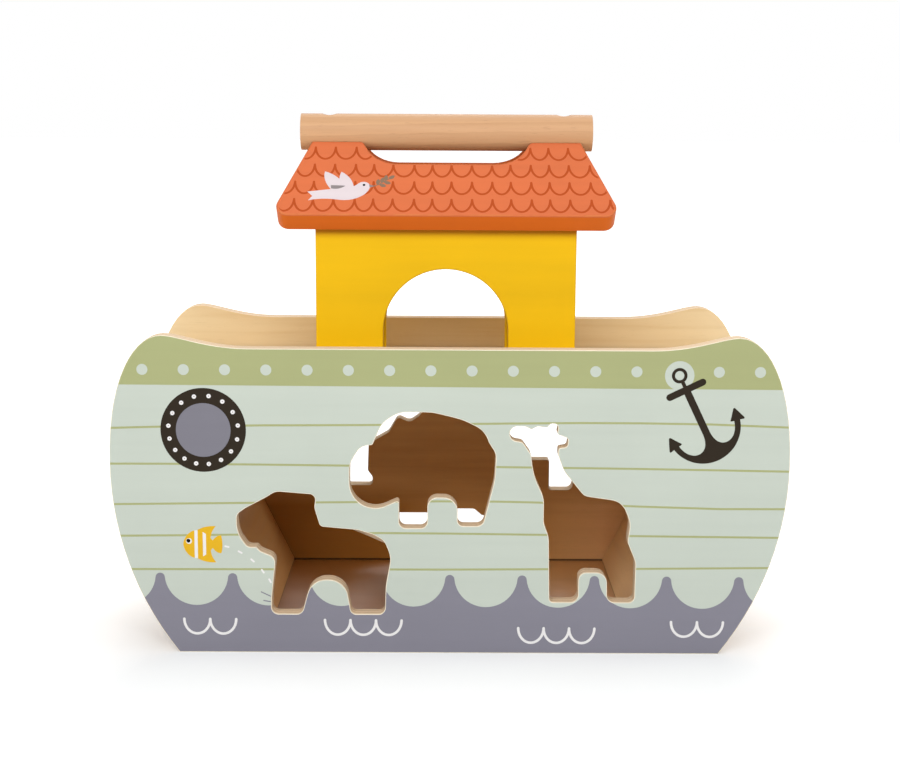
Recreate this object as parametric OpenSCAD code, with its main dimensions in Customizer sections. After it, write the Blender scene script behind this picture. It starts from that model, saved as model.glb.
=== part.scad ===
// Wooden toy ark: a shape-posting hull with a lift-off deck that carries a small house.
// Millimetres. The origin is on the table under the middle of the hull.
// +X runs along the hull, -Y faces the printed side and +Z is up.

/* [Hull sides] */
// Length of the sides where they are longest
hull_len = 340; // [310:1:380]
// Length of the sides along the table
base_len = 274; // [240:1:300]
// Width over both sides
hull_w = 140; // [125:1:170]
// Thickness of each side
side_t = 9; // [7:0.5:12]
// Height of the peaks at bow and stern
peak_h = 162.5; // [158:0.5:175]
// Height of the level rail between the peaks
rail_h = 156; // [148:1:158]
// Height at which the sides are longest
belly_h = 98; // [85:1:110]
// Distance of each peak from the middle
peak_x = 143; // [135:1:148]
// Distance from the middle to where the rail starts to rise
rise_x = 100; // [85:1:112]
// Sideways pull of the curve at the base corner
flare_out = 22.5; // [18:0.5:26]
// Upward pull of the curve at the base corner
flare_up = 29.5; // [24:0.5:34]
// Downward pull of the curve at the longest point
belly_low = 34; // [30:1:44]
// Upward pull of the curve at the longest point
belly_high = 43; // [36:1:46]
// Outward pull of the curve at a peak
peak_out = 13.5; // [10:0.5:18]
// Inward pull of the curve at a peak
peak_in = 8; // [5:0.5:12]
// Pull of the curve where the rail starts to rise
rise_out = 21; // [12:0.5:25]

/* [Hull boards] */
// Thickness of the floor
floor_t = 9; // [7:0.5:12]
// Gap between the table and the floor
floor_lift = 3.5; // [1:0.5:5]
// How far the floor runs past the end boards
floor_lip = 3; // [1:0.5:8]
// Thickness of the end boards
end_t = 9; // [8:0.5:12]
// From the end of the base to the foot of an end board, on its inner face
end_foot_inset = 47; // [38:1:56]
// From the longest point of the hull to the head of an end board, on its inner face
end_head_inset = 22.5; // [19:0.5:30]

/* [Front posting holes] */
// Length of the lion
lion_len = 77; // [66:1:86]
// Middle of the lion's feet along the hull
lion_x = -69; // [-74:1:-66]
// Height of the lion's feet
lion_z = 20.5; // [16:0.5:24]
// Length of the hippopotamus
hippo_len = 73; // [64:0.5:80]
// Middle of the hippopotamus along the hull
hippo_x = -13; // [-16:1:-10]
// Height of the hippopotamus's feet
hippo_z = 65.5; // [62:0.5:67]
// Height of the giraffe
giraffe_h = 92; // [80:1:98]
// Middle of the giraffe's feet along the hull
giraffe_x = 73; // [70:1:78]
// Height of the giraffe's feet
giraffe_z = 27; // [20:1:30]

/* [Back posting holes] */
// Length of the rhinoceros
rhino_len = 86; // [74:1:94]
// Middle of the rhinoceros's feet along the hull
rhino_x = -69; // [-76:1:-66]
// Height of the rhinoceros's feet
rhino_z = 57.5; // [52:0.5:60]
// Length of the elephant
elephant_len = 63.5; // [54:0.5:70]
// Middle of the elephant's feet along the hull
elephant_x = 53; // [50:1:60]
// Height of the elephant's feet
elephant_z = 55; // [51:0.5:58]
// Length of the crocodile
croc_len = 111; // [94:1:118]
// Middle of the crocodile along the hull
croc_x = -6; // [-10:1:-4]
// Height of the crocodile's feet
croc_z = 14; // [13:0.5:18]

/* [Lift-off deck] */
// Height of the deck's upper face
deck_h = 139; // [135:1:144]
// Thickness of the deck
deck_t = 9; // [7:0.5:12]
// Gap between the deck and each side
deck_gap = 0.75; // [0.5:0.05:1.5]
// How far the deck stops short of the outer face of each end board
deck_setback = 1; // [0.5:0.5:3]
// Width of the cleats under the deck
cleat_w = 12; // [10:1:20]
// Height of the cleats
cleat_h = 9; // [7:0.5:14]
// Length of the cleats
cleat_len = 100; // [84:1:108]
// Play between each cleat and its end board
cleat_play = 3; // [2.8:0.1:4.5]
// Where the lid lies in its play, along the hull
lid_shift = -2.5; // [-2.5:0.1:2.5]

/* [House] */
// Length of the house
house_len = 135; // [120:1:150]
// Depth of the house over both walls
house_d = 50; // [44:1:60]
// Height of the walls at their outer face
wall_h = 77; // [72:0.5:95]
// Thickness of the walls
wall_t = 9; // [8:0.5:12]
// Thickness of the gables
gable_t = 12; // [10:0.5:16]
// Radius of the arched doorway
arch_r = 32.5; // [24:0.5:36]
// Height of the arch's centre above the deck
arch_rise = 20; // [10:0.5:30]

/* [Roof] */
// Pitch of the roof in degrees
roof_pitch = 50; // [42:1:55]
// Thickness of the roof panels
roof_t = 13.5; // [10:0.5:15]
// Overhang of the eaves past the walls, on the underside
eave_out = 3.7; // [2:0.1:10]
// Length of the eaves
eave_len = 179; // [165:1:190]
// Length of the roof where it meets the handle
ridge_len = 140; // [136:1:150]
// Radius of the corners at the eaves
eave_r = 6; // [2:0.5:10]
// Width of the grip notch at the handle
grip_w = 87; // [78:1:92]
// Width of the grip notch at its foot
grip_foot_w = 73; // [60:1:77]
// Depth of the grip notch down the slope
grip_depth = 14.5; // [10:0.5:20]
// Radius of the grip notch's lower corners
grip_r = 18; // [6:0.5:20]
// Radius of the grip notch's upper corners
grip_lip_r = 3; // [1:0.5:5]

/* [Handle] */
// Diameter of the handle
handle_d = 19; // [16:0.5:24]
// Length of the handle
handle_len = 152.5; // [145:0.5:170]
// How far the handle's axis lies below the point where the roof's outer faces would meet
handle_drop = 5.4; // [3:0.1:6]

/* [Pins and screws] */
// Diameter of the dowel pins
pin_d = 6; // [4:0.5:7]
// Length of a dowel pin in the board that it enters endways
pin_len = 12; // [8:0.5:12]
// Length of a roof pin in the gable's edge
roof_pin_len = 8; // [6:0.5:8]
// Wood left between a pin's hole and the outer face
pin_cover = 3.5; // [2.5:0.5:5]
// Gap round a pin and round a screw
fit_gap = 0.05; // [0.02:0.01:0.15]
// Gap past each end of a pin and past a screw's tip
end_gap = 0.5; // [0.2:0.1:1]
// Distance of the end boards' pins from the boards' ends
end_pin_inset = 24; // [15:1:35]
// Spacing of the floor's pins
floor_pin_pitch = 70; // [50:1:80]
// Height of the lower wall pins above the deck
wall_pin_low = 27; // [24:1:34]
// Spacing of the wall pins
wall_pin_pitch = 36; // [20:1:40]
// Distance of the roof pins from the middle of the ridge
roof_pin_y = 12; // [11.5:0.1:12.5]
// Shank diameter of the screws
screw_d = 4; // [3:0.5:4.5]
// Head diameter of the screws
screw_head_d = 7.5; // [6.5:0.5:8]
// Height of the screws' conical heads
screw_head_h = 2.5; // [2:0.1:3]
// Length of the screws from the deck into the house
deck_screw_len = 28; // [22:1:30]
// Length of the handle's screws
handle_screw_len = 45; // [36:1:50]
// Depth of the handle's screw heads below its top
handle_screw_sink = 2; // [1:0.1:3]
// Wood left between a cleat screw's tip and the deck's upper face
cleat_screw_cover = 3.5; // [2.5:0.5:5]
// Distance of the cleat screws from the middle
cleat_screw_y = 35; // [20:1:38]
// Distance of the wall screws from the middle
wall_screw_x = 48; // [44:1:52]

/* [Hidden] */
$fn = 64;

mint = "#CDD6CB";
bare_wood = "#DEB98C";
house_yellow = "#F1BC1C";
roof_orange = "#ED7A4B";
handle_wood = "#DDAA74";
pin_wood = "#C99A66";
steel = "#B8BABD";

// Left and right, or front and back
both = [-1, 1];
// Turn of each short straight in a rounded corner, in degrees
arc_step = 10;
// Straights in each stretch of the hull's curve
curve_steps = 14;
// Overlap that lets a cut pass clean through a face
cut = 1;

// Hull
inner_w = hull_w - 2 * side_t;
floor_top = floor_lift + floor_t;
deck_low = deck_h - deck_t;
end_foot_x = base_len / 2 - end_foot_inset;
end_head_x = hull_len / 2 - end_head_inset;
end_slope = (end_head_x - end_foot_x) / (deck_low - floor_top);
end_run = end_t * sqrt(1 + end_slope * end_slope);
floor_len = 2 * (end_foot_x + end_run + floor_lip);

// Lid
deck_len = 2 * (end_head_x + end_run - deck_setback);
deck_w = inner_w - 2 * deck_gap;
cleat_low = deck_low - cleat_h;
cleat_x = end_inner_x(cleat_low) - cleat_play - cleat_w / 2;
gable_x = (house_len - gable_t) / 2;
room_d = house_d - 2 * wall_t;
wall_y = (house_d - wall_t) / 2;

// Roof, in the plane across the hull
wall_top = deck_h + wall_h;
under_ridge = roof_under(0);
over_ridge = under_ridge + roof_t / cos(roof_pitch);
eave_y = house_d / 2 + eave_out + roof_t * sin(roof_pitch);
eave_z = roof_under(house_d / 2 + eave_out) + roof_t * cos(roof_pitch);
handle_z = over_ridge - handle_drop;
handle_seat_d = handle_d + 2 * fit_gap;
slope_len = eave_y / cos(roof_pitch);
handle_depth = handle_drop * cos(roof_pitch);
handle_reach = sqrt(handle_d * handle_d / 4 - handle_depth * handle_depth);
ridge_u = slope_len - handle_drop * sin(roof_pitch) - handle_reach;
gable_taper = (eave_len - ridge_len) / 2 / ridge_u;

// Pins and screws
hull_pin_len = side_t - pin_cover + pin_len;
wall_pin_len = wall_t - pin_cover + pin_len;
roof_pin_whole = roof_t - pin_cover + roof_pin_len;
cleat_screw_len = cleat_h + deck_t - cleat_screw_cover;
handle_screw_top = handle_z + handle_d / 2 - handle_screw_sink;
screw_slot_w = 0.9;
screw_slot_len = 0.6 * screw_head_d;
screw_slot_depth = 0.5 * screw_head_h;
hull_pin_places = concat(
    [for (side = both, z = [floor_top + end_pin_inset, deck_low - end_pin_inset])
        [side * (end_inner_x(z) + end_run / 2), z]],
    [for (i = [-1 : 1]) [i * floor_pin_pitch, floor_lift + floor_t / 2]]
);
wall_pin_places = [for (side = both, i = [0, 1])
    [side * gable_x, deck_h + wall_pin_low + i * wall_pin_pitch]];
wall_screw_places = [for (side = both, face = both) [side * wall_screw_x, face * wall_y]];
gable_screw_places = [for (side = both) [side * gable_x, 0]];

// Inner face of an end board at height z, measured from the middle of the hull
function end_inner_x(z) = end_foot_x + (z - floor_top) * end_slope;

// Height of the roof's underside at distance y from the middle
function roof_under(y) = wall_top + (house_d / 2 - y) * tan(roof_pitch);

// Points of a cubic curve, without its last point
function curve(a, b, c, d) = [for (i = [0 : curve_steps - 1])
    let (t = i / curve_steps, s = 1 - t)
    a * s * s * s + 3 * b * s * s * t + 3 * c * s * t * t + d * t * t * t];

function mirrored(points) = [for (i = [len(points) - 1 : -1 : 0]) [-points[i][0], points[i][1]]];

function plane(p) = [p[0], p[1]];
function unit(v) = v / norm(v);

// Half of the angle at corner b
function half_angle(a, b, c) = acos(unit(plane(a) - plane(b)) * unit(plane(c) - plane(b))) / 2;

// Arc of radius r in the corner b between its neighbours a and c
function corner_arc(a, b, c, r) =
    let (
        to_a = unit(plane(a) - plane(b)),
        to_c = unit(plane(c) - plane(b)),
        half = half_angle(a, b, c),
        centre = plane(b) + unit(to_a + to_c) * r / sin(half),
        start = plane(b) + to_a * r / tan(half) - centre,
        turn = sign(cross(-to_a, to_c)) * (180 - 2 * half),
        from = atan2(start[1], start[0]),
        steps = max(2, ceil(abs(turn) / arc_step))
    )
    [for (i = [0 : steps]) centre + r * [cos(from + turn * i / steps), sin(from + turn * i / steps)]];

// Outline through corners [x, y, radius], where a radius gives way on an edge that is too short for it
function rounded(corners) =
    let (
        n = len(corners),
        half = [for (i = [0 : n - 1])
            half_angle(corners[(i + n - 1) % n], corners[i], corners[(i + 1) % n])],
        reach = [for (i = [0 : n - 1]) corners[i][2] / tan(half[i])],
        edge = [for (i = [0 : n - 1]) norm(plane(corners[(i + 1) % n]) - plane(corners[i]))],
        share = [for (i = [0 : n - 1]) edge[i] / max(edge[i], reach[i] + reach[(i + 1) % n])]
    )
    [for (i = [0 : n - 1])
        let (r = corners[i][2] * min(share[i], share[(i + n - 1) % n]))
        each r > 0
            ? corner_arc(corners[(i + n - 1) % n], corners[i], corners[(i + 1) % n], r)
            : [plane(corners[i])]];

// Corners drawn for one size, brought to another and set on a place
function placed(corners, drawn, size, x, z) =
    [for (c = corners) c * size / drawn + [x, z, 0]];

// Posting holes as corners [x, z, radius] from the middle of the feet, with the size they are drawn at
lion_drawn = 77;
lion = [
    [-38, 51.6, 4.5], [-33.4, 54.8, 12], [-24, 59.8, 10], [-18.2, 63.4, 7], [1.8, 61.8, 3],
    [1, 55, 5], [3.8, 45.4, 2.5], [22.5, 43.8, 14], [31, 41.3, 14], [36.2, 38, 7],
    [39.5, 29.5, 12], [36.8, 14.5, 14], [36.4, -0.2, 3.5], [19.4, -0.2, 3], [16.3, 17.8, 10],
    [-0.8, 17.8, 10], [-5.6, -0.2, 3.5], [-21, -0.2, 3.5], [-20.8, 8.5, 20], [-18.6, 29.2, 4.5],
    [-26.6, 32.6, 3], [-28.2, 34.6, 1], [-32.6, 34.5, 3.5], [-36.6, 40, 14], [-38, 45, 12]
];
hippo_drawn = 73;
hippo = [
    [-37.3, 32.7, 13], [-31.7, 41.7, 7], [-25.8, 42.3, 1.2], [-21, 53.6, 13], [-12.6, 58.9, 13],
    [4, 59, 30], [19, 55.3, 30], [29.9, 50, 12], [32.3, 43.8, 3], [36, 38, 8],
    [35.3, 24.5, 30], [29.5, 0.9, 4], [16.9, 0.9, 3], [16.9, 15.6, 7], [1.7, 15.6, 5],
    [1.7, -0.3, 3.5], [-12.5, -0.3, 3.5], [-12.5, 14.2, 1.2], [-22.5, 9.7, 12], [-33.8, 11.1, 13],
    [-37.3, 20.6, 14]
];
giraffe_drawn = 92;
giraffe = [
    [-43.3, 90.5, 3.8], [-35.5, 90.5, 3], [-32.6, 89, 1.2], [-29.5, 90.6, 3], [-24.8, 90, 1.2],
    [-23, 92, 2], [-18.9, 92, 2.2], [-19.7, 86.6, 1.2], [-14, 84.6, 2], [-14.6, 80.2, 1.8],
    [-18.9, 79.6, 1], [-19.1, 76, 6], [-16.2, 68, 14], [-5.6, 55.1, 5], [13.2, 52.4, 9],
    [17.9, 41.5, 12], [16.6, 31.5, 5], [20.9, 21, 8], [20.7, 0, 3.2], [6.9, 0, 4],
    [6.6, 15.6, 5.5], [-7.8, 15.6, 4], [-7.8, 0, 4], [-22.3, 0, 2], [-23.1, 34, 12],
    [-25.8, 41, 8], [-25.8, 54, 14], [-31.3, 66, 30], [-32.6, 76.5, 5], [-37, 82.6, 2.5],
    [-43.3, 83.6, 4]
];
rhino_drawn = 86;
rhino = [
    [24.6, 0, 2.5], [24.4, 5, 2.5], [21.7, 8.5, 3], [22.2, 24.7, 3], [33.8, 31.3, 5],
    [39.2, 40.5, 2.5], [46.2, 37.4, 4], [51.8, 41.4, 4], [57, 48.5, 4], [58, 61.5, 1.2],
    [50.5, 55.5, 3], [43, 56.5, 4], [36, 63.5, 2], [31, 59, 3], [16, 62, 12],
    [-6, 58, 14], [-22, 61, 12], [-28, 47, 10], [-26.5, 25, 8], [-25, 0, 3],
    [-10, 0, 3], [-8.5, 16.5, 5], [5.5, 16.5, 5], [7.5, 0, 3]
];
elephant_drawn = 63.5;
elephant = [
    [-20, 0, 3], [-21.5, 21, 8], [-21, 46, 14], [-8, 57, 14], [9, 54, 12],
    [22, 59, 10], [35, 53, 9], [40, 38, 8], [42, 16, 6], [42, 3, 3],
    [34, 3, 3], [33.5, 18, 5], [31, 26, 4], [23, 26, 4], [19.2, 20, 4],
    [19.2, 0, 3.5], [5.5, 0, 1.5], [5.5, 17.9, 1.5], [-5.7, 17.9, 1.5], [-5.7, 0, 3]
];
croc_drawn = 111;
croc = [
    [-56, 20.5, 1.5], [-44, 23.5, 10], [-26, 26.9, 6], [-4, 26.9, 4], [3, 25.4, 4],
    [8, 29.4, 3], [20.9, 29.4, 3.5], [25.2, 25.6, 2], [30, 24.8, 8], [50, 19.5, 5], [55, 14, 4],
    [52, 8.5, 3], [32, 8, 4], [29, 0, 2.5], [17, 0, 2.5], [14, 5, 4],
    [-8, 5, 4], [-11, 0, 2.5], [-23, 0, 2.5], [-26, 6.6, 5], [-34, 9.9, 6],
    [-49, 16.4, 8]
];

// One half of a side's outline, from the base corner up to the level rail
half_side = concat(
    curve(
        [base_len / 2, 0],
        [base_len / 2 + flare_out, flare_up],
        [hull_len / 2, belly_h - belly_low],
        [hull_len / 2, belly_h]
    ),
    curve(
        [hull_len / 2, belly_h],
        [hull_len / 2, belly_h + belly_high],
        [peak_x + peak_out, peak_h],
        [peak_x, peak_h]
    ),
    curve(
        [peak_x, peak_h],
        [peak_x - peak_in, peak_h],
        [rise_x + rise_out, rail_h],
        [rise_x, rail_h]
    ),
    [[rise_x, rail_h]]
);

// An outline drawn in the plane of a side, made into a board whose face nearest +Y is at y
module board(y, t) translate([0, y, 0]) rotate([90, 0, 0]) linear_extrude(t) children();

// An outline drawn across the hull, made into a bar from x, of the given length
module bar(x, length) translate([x, 0, 0]) rotate([90, 0, 90]) linear_extrude(length) children();

// Places the lid's pieces where the lid lies in its play
module on_lid() translate([lid_shift, 0, 0]) children();

// The same shape on the other side of the hull's middle plane
module at_back() mirror([0, 1, 0]) children();

module side_blank() polygon(concat(half_side, mirrored(half_side)));

// Round peg along +Y from y, at each place [x, z]
module pegs(places, y, length, d)
    for (p = places)
        translate([p[0], y, p[1]]) rotate([-90, 0, 0]) cylinder(d = d, h = length);

module hull_pins() pegs(hull_pin_places, -hull_w / 2 + pin_cover, hull_pin_len, pin_d);

module hull_pin_holes()
    pegs(
        hull_pin_places, -hull_w / 2 + pin_cover - end_gap,
        hull_pin_len + 2 * end_gap, pin_d + 2 * fit_gap
    );

module both_hull_pin_holes() {
    hull_pin_holes();
    at_back() hull_pin_holes();
}

module wall_pins() pegs(wall_pin_places, -house_d / 2 + pin_cover, wall_pin_len, pin_d);

module wall_pin_holes()
    pegs(
        wall_pin_places, -house_d / 2 + pin_cover - end_gap,
        wall_pin_len + 2 * end_gap, pin_d + 2 * fit_gap
    );

// Pins square to the front roof panel, with the hole's gaps where they are given
module roof_pin_shape(gap, past)
    for (side = both)
        translate([side * gable_x, -roof_pin_y, roof_under(roof_pin_y)])
            rotate([roof_pitch, 0, 0])
                translate([0, 0, -roof_pin_len - past])
                    cylinder(d = pin_d + 2 * gap, h = roof_pin_whole + 2 * past);

// Countersunk screw that points down from the top of its head at the origin
module screw(length) {
    difference() {
        union() {
            translate([0, 0, -screw_head_h])
                cylinder(d1 = screw_d, d2 = screw_head_d, h = screw_head_h);
            translate([0, 0, -length]) cylinder(d = screw_d, h = length - screw_head_h);
        }
        for (a = [0, 90])
            rotate([0, 0, a])
                translate([-screw_slot_len / 2, -screw_slot_w / 2, -screw_slot_depth])
                    cube([screw_slot_len, screw_slot_w, screw_slot_depth + cut]);
    }
}

// Hole for the screw, with a straight way for its head up to the given height
module screw_hole(length, above) {
    translate([0, 0, -length - end_gap])
        cylinder(d = screw_d + 2 * fit_gap, h = length + end_gap);
    translate([0, 0, -screw_head_h])
        cylinder(d1 = screw_d + 2 * fit_gap, d2 = screw_head_d + 2 * fit_gap, h = screw_head_h);
    cylinder(d = screw_head_d + 2 * fit_gap, h = above);
}

// Turns a screw or its hole to point up from a place on a board's underside
module from_below(places, z)
    for (p = places) translate([p[0], p[1], z]) rotate([180, 0, 0]) children();

module cleat_screw_set(side) from_below([for (s = both) [side * cleat_x, s * cleat_screw_y]], cleat_low)
    children();

module deck_screw_set() from_below(concat(wall_screw_places, gable_screw_places), deck_low) children();

module handle_screw_set()
    for (side = both) translate([side * gable_x, 0, handle_screw_top]) children();

module handle_screw_holes() handle_screw_set() screw_hole(handle_screw_len, handle_screw_sink + cut);

module deck_screw_holes() deck_screw_set() screw_hole(deck_screw_len, cut);

// The round seat that the handle takes in the roof and the gables
module handle_seat(d, length)
    translate([-length / 2, 0, handle_z]) rotate([0, 90, 0]) cylinder(d = d, h = length);

module front_side_panel() {
    color(mint)
        difference() {
            board(side_t - hull_w / 2, side_t) difference() {
                side_blank();
                polygon(rounded(placed(lion, lion_drawn, lion_len, lion_x, lion_z)));
                polygon(rounded(placed(hippo, hippo_drawn, hippo_len, hippo_x, hippo_z)));
                polygon(rounded(placed(giraffe, giraffe_drawn, giraffe_h, giraffe_x, giraffe_z)));
            }
            hull_pin_holes();
        }
}

module back_side_panel() {
    color(mint)
        difference() {
            board(hull_w / 2, side_t) difference() {
                side_blank();
                polygon(rounded(placed(rhino, rhino_drawn, rhino_len, rhino_x, rhino_z)));
                polygon(rounded(placed(elephant, elephant_drawn, elephant_len, elephant_x, elephant_z)));
                polygon(rounded(placed(croc, croc_drawn, croc_len, croc_x, croc_z)));
            }
            at_back() hull_pin_holes();
        }
}

module floor_board() {
    color(bare_wood)
        difference() {
            translate([-floor_len / 2, -inner_w / 2, floor_lift]) cube([floor_len, inner_w, floor_t]);
            both_hull_pin_holes();
        }
}

// Leaning board that stands on the floor and carries the deck
module end_board(side) {
    color(bare_wood)
        difference() {
            board(inner_w / 2, inner_w) polygon([
                [side * end_foot_x, floor_top],
                [side * (end_foot_x + end_run), floor_top],
                [side * (end_head_x + end_run), deck_low],
                [side * end_head_x, deck_low]
            ]);
            both_hull_pin_holes();
        }
}

module left_end_board() end_board(-1);

module right_end_board() end_board(1);

module front_hull_pins() color(pin_wood) hull_pins();

module back_hull_pins() color(pin_wood) at_back() hull_pins();

module deck_board() {
    color(bare_wood) on_lid()
        difference() {
            translate([-deck_len / 2, -deck_w / 2, deck_low]) cube([deck_len, deck_w, deck_t]);
            deck_screw_holes();
            for (side = both) cleat_screw_set(side) screw_hole(cleat_screw_len, cut);
        }
}

// Bar under the deck that keeps it from sliding along the hull
module deck_cleat(side) {
    color(bare_wood) on_lid()
        difference() {
            translate([side * cleat_x - cleat_w / 2, -cleat_len / 2, cleat_low])
                cube([cleat_w, cleat_len, cleat_h]);
            cleat_screw_set(side) screw_hole(cleat_screw_len, cut);
        }
}

module left_deck_cleat() deck_cleat(-1);

module right_deck_cleat() deck_cleat(1);

module cleat_screws()
    color(steel) on_lid() for (side = both) cleat_screw_set(side) screw(cleat_screw_len);

// Wall on the front, bevelled on top to the roof's slope
module wall() {
    difference() {
        bar(-house_len / 2, house_len) polygon([
            [-house_d / 2, deck_h],
            [-room_d / 2, deck_h],
            [-room_d / 2, roof_under(room_d / 2)],
            [-house_d / 2, wall_top]
        ]);
        translate([0, -wall_y, deck_h + arch_rise]) rotate([90, 0, 0])
            cylinder(r = arch_r, h = wall_t + 2 * cut, center = true);
        translate([-arch_r, -house_d / 2 - cut, deck_h - cut])
            cube([2 * arch_r, wall_t + 2 * cut, arch_rise + cut]);
        wall_pin_holes();
        deck_screw_holes();
    }
}

module house_front_wall() color(house_yellow) on_lid() wall();

module house_back_wall() color(house_yellow) on_lid() at_back() wall();

// End wall of the house, between the two long walls
module gable(side) {
    color(house_yellow) on_lid()
        difference() {
            bar(side * gable_x - gable_t / 2, gable_t) polygon([
                [-room_d / 2, deck_h],
                [room_d / 2, deck_h],
                [room_d / 2, roof_under(room_d / 2)],
                [0, under_ridge],
                [-room_d / 2, roof_under(room_d / 2)]
            ]);
            wall_pin_holes();
            at_back() wall_pin_holes();
            roof_pin_shape(fit_gap, end_gap);
            at_back() roof_pin_shape(fit_gap, end_gap);
            deck_screw_holes();
            handle_screw_holes();
            handle_seat(handle_seat_d, handle_len);
        }
}

module left_gable() gable(-1);

module right_gable() gable(1);

module front_wall_pins() color(pin_wood) on_lid() wall_pins();

module back_wall_pins() color(pin_wood) on_lid() at_back() wall_pins();

module deck_screws() color(steel) on_lid() deck_screw_set() screw(deck_screw_len);

// Outline of a roof panel, measured up the slope from its eave
module roof_outline() {
    ridge_half = eave_len / 2 - gable_taper * slope_len;
    lip_x = grip_w / 2 + grip_lip_r;
    difference() {
        polygon(rounded([
            [-eave_len / 2, 0, eave_r], [eave_len / 2, 0, eave_r],
            [ridge_half, slope_len, 0], [-ridge_half, slope_len, 0]
        ]));
        polygon(rounded([
            [-lip_x, slope_len + cut, 0], [-lip_x, ridge_u, 0], [-grip_w / 2, ridge_u, grip_lip_r],
            [-grip_foot_w / 2, ridge_u - grip_depth, grip_r],
            [grip_foot_w / 2, ridge_u - grip_depth, grip_r],
            [grip_w / 2, ridge_u, grip_lip_r], [lip_x, ridge_u, 0], [lip_x, slope_len + cut, 0]
        ]));
    }
}

// Front panel of the roof, cut upright at the ridge and hollowed for the handle
module roof_panel() {
    difference() {
        translate([0, -eave_y, eave_z]) rotate([roof_pitch, 0, 0])
            translate([0, 0, -roof_t]) linear_extrude(roof_t) roof_outline();
        translate([-eave_len, 0, wall_top]) cube([2 * eave_len, 2 * eave_y, 2 * eave_y]);
        handle_seat(handle_seat_d, 2 * eave_len);
        roof_pin_shape(fit_gap, end_gap);
        handle_screw_holes();
    }
}

module front_roof_panel() color(roof_orange) on_lid() roof_panel();

module back_roof_panel() color(roof_orange) on_lid() at_back() roof_panel();

module front_roof_pins() color(pin_wood) on_lid() roof_pin_shape(0, 0);

module back_roof_pins() color(pin_wood) on_lid() at_back() roof_pin_shape(0, 0);

module handle_dowel() {
    color(handle_wood) on_lid()
        difference() {
            handle_seat(handle_d, handle_len);
            handle_screw_holes();
        }
}

module handle_screws() color(steel) on_lid() handle_screw_set() screw(handle_screw_len);

front_side_panel();
back_side_panel();
floor_board();
left_end_board();
right_end_board();
front_hull_pins();
back_hull_pins();
deck_board();
left_deck_cleat();
right_deck_cleat();
cleat_screws();
house_front_wall();
house_back_wall();
left_gable();
right_gable();
front_wall_pins();
back_wall_pins();
deck_screws();
front_roof_panel();
back_roof_panel();
front_roof_pins();
back_roof_pins();
handle_dowel();
handle_screws();
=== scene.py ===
import math

import bmesh
import bpy
from mathutils import Matrix, Vector
from mathutils.geometry import delaunay_2d_cdt


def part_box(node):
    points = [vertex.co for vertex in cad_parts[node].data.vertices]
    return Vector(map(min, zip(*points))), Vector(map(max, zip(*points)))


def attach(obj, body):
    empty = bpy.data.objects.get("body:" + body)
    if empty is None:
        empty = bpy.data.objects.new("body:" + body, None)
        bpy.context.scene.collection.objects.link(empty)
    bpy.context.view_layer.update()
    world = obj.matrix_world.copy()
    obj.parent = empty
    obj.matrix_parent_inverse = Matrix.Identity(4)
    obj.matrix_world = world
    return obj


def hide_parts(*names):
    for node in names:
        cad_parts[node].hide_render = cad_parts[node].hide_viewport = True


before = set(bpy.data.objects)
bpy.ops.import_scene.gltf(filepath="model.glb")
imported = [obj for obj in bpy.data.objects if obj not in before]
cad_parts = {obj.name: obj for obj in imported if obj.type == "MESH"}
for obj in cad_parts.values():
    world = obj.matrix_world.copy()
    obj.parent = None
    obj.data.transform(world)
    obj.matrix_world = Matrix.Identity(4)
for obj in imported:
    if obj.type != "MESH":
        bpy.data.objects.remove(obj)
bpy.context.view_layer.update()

MM = 0.001
X = Vector((1, 0, 0))
Y = Vector((0, 1, 0))
Z = Vector((0, 0, 1))

# Camera at the photograph's viewing angle
CAMERA_PLACE = (-0.0042, -0.855, 0.2679)
CAMERA_DOWN = 9.318
CAMERA_TURN = -0.285
CAMERA_ROLL = 0.340
CAMERA_LENS = 64.25
CAMERA_SENSOR = 36
CAMERA_NEAR = 0.01

# Finish colours, as they look on a screen
MINT = (209, 217, 205)
OLIVE = (180, 184, 132)
SLATE = (144, 142, 154)
GLASS = (135, 133, 143)
SOOT = (52, 43, 33)
WHITE = (250, 247, 246)
SUN = (243, 190, 40)
BLOSSOM = (236, 222, 225)
FEATHER = (150, 140, 140)
LEAF = (146, 120, 98)
PUPIL = (24, 22, 22)
HOUSE_YELLOW = (243, 193, 16)
HOUSE_WORN = (246, 204, 70)
# Colour of the painted shade under the eaves
HOUSE_EAVE_SHADE = (180, 95, 0)
ROOF_ORANGE = (236, 124, 76)
ROOF_LINE = (200, 84, 32)
ROOF_EDGE = (222, 110, 38)
ROOF_WORN = (240, 150, 84)
BARE_LIGHT = (216, 193, 153)
BARE_DARK = (202, 172, 127)
# Wood in painted shade, for the hold
SHADED_HOLD_LIGHT = (206, 153, 92)
SHADED_HOLD_DARK = (188, 134, 75)
BEECH_LIGHT = (192, 149, 108)
BEECH_DARK = (178, 132, 90)
# Painted shade in the gaps where the hold's boards meet
GAP_SHADE_BROWN = (40, 22, 10)
CUT_LIGHT = (225, 203, 174)
CUT_DARK = (211, 185, 153)
RIM_LIGHT = (223, 214, 193)
RIM_DARK = (207, 194, 167)
STEEL = (190, 190, 194)
FLOOR_WHITE = (213, 214, 215)

# Share of its screen colour's light that each finish sends back
PAINT_SHARE = 0.69
HOUSE_SHARE = 0.75
# Painted light: the house walls send back more towards their foot
HOUSE_FOOT_LIGHT_SHARE = 1.0
ROOF_SHARE = 0.65
ROOF_EDGE_SHARE = 0.82
WOOD_SHARE = 1.0

# Fineness of the marks in the finishes, per metre along x, y and z
PAINT_CLOUD = (16, 16, 16)
PAINT_FIBRE = (7, 170, 170)
WALL_FIBRE = (9, 9, 120)
PAINT_GRIT = (1300, 1300, 1300)
PAINT_RUB = (90, 90, 90)
WOOD_RUB = (60, 60, 60)
PLY_WAVER = (30, 30, 30)
PLY_PORES = (700, 700, 700)
STEEL_SPOTS = (420, 420, 420)
STEEL_LINES = (2600, 2600, 500)
FLOOR_CLOUD = (3, 3, 3)

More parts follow.
